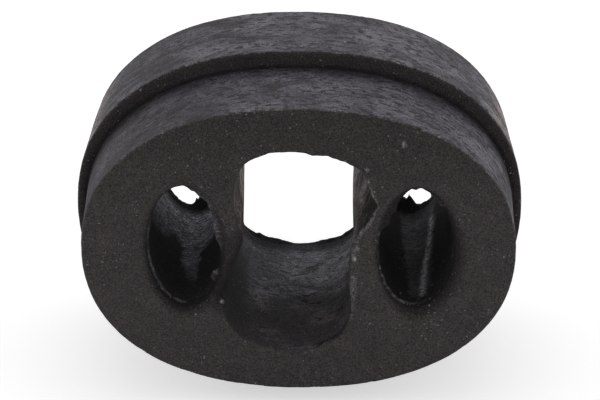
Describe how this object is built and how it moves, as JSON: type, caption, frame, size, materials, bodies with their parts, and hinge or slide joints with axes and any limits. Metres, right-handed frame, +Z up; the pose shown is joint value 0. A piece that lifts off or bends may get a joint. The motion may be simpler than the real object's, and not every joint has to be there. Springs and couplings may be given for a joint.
{
  "type": "exhaust rubber buffer",
  "caption": "Stepped oval rubber block with a waisted middle opening and oval rod holes at the sides, which hangs a car exhaust silencer and damps its shaking.",
  "frame": {"origin": "under the middle of the block, at the level that it stands on, on its long side", "axes": "+X across the wide way, to the right seen from the narrow step; +Y along the openings, from the narrow front step to the wide rear step; +Z up, along the openings' long way"},
  "size_m": [0.0734, 0.0342, 0.0568],
  "materials": {
    "rubber": "matte"
  },
  "bodies": {
    "root": {"rubber_buffer": "rubber"}
  },
  "joints": []
}
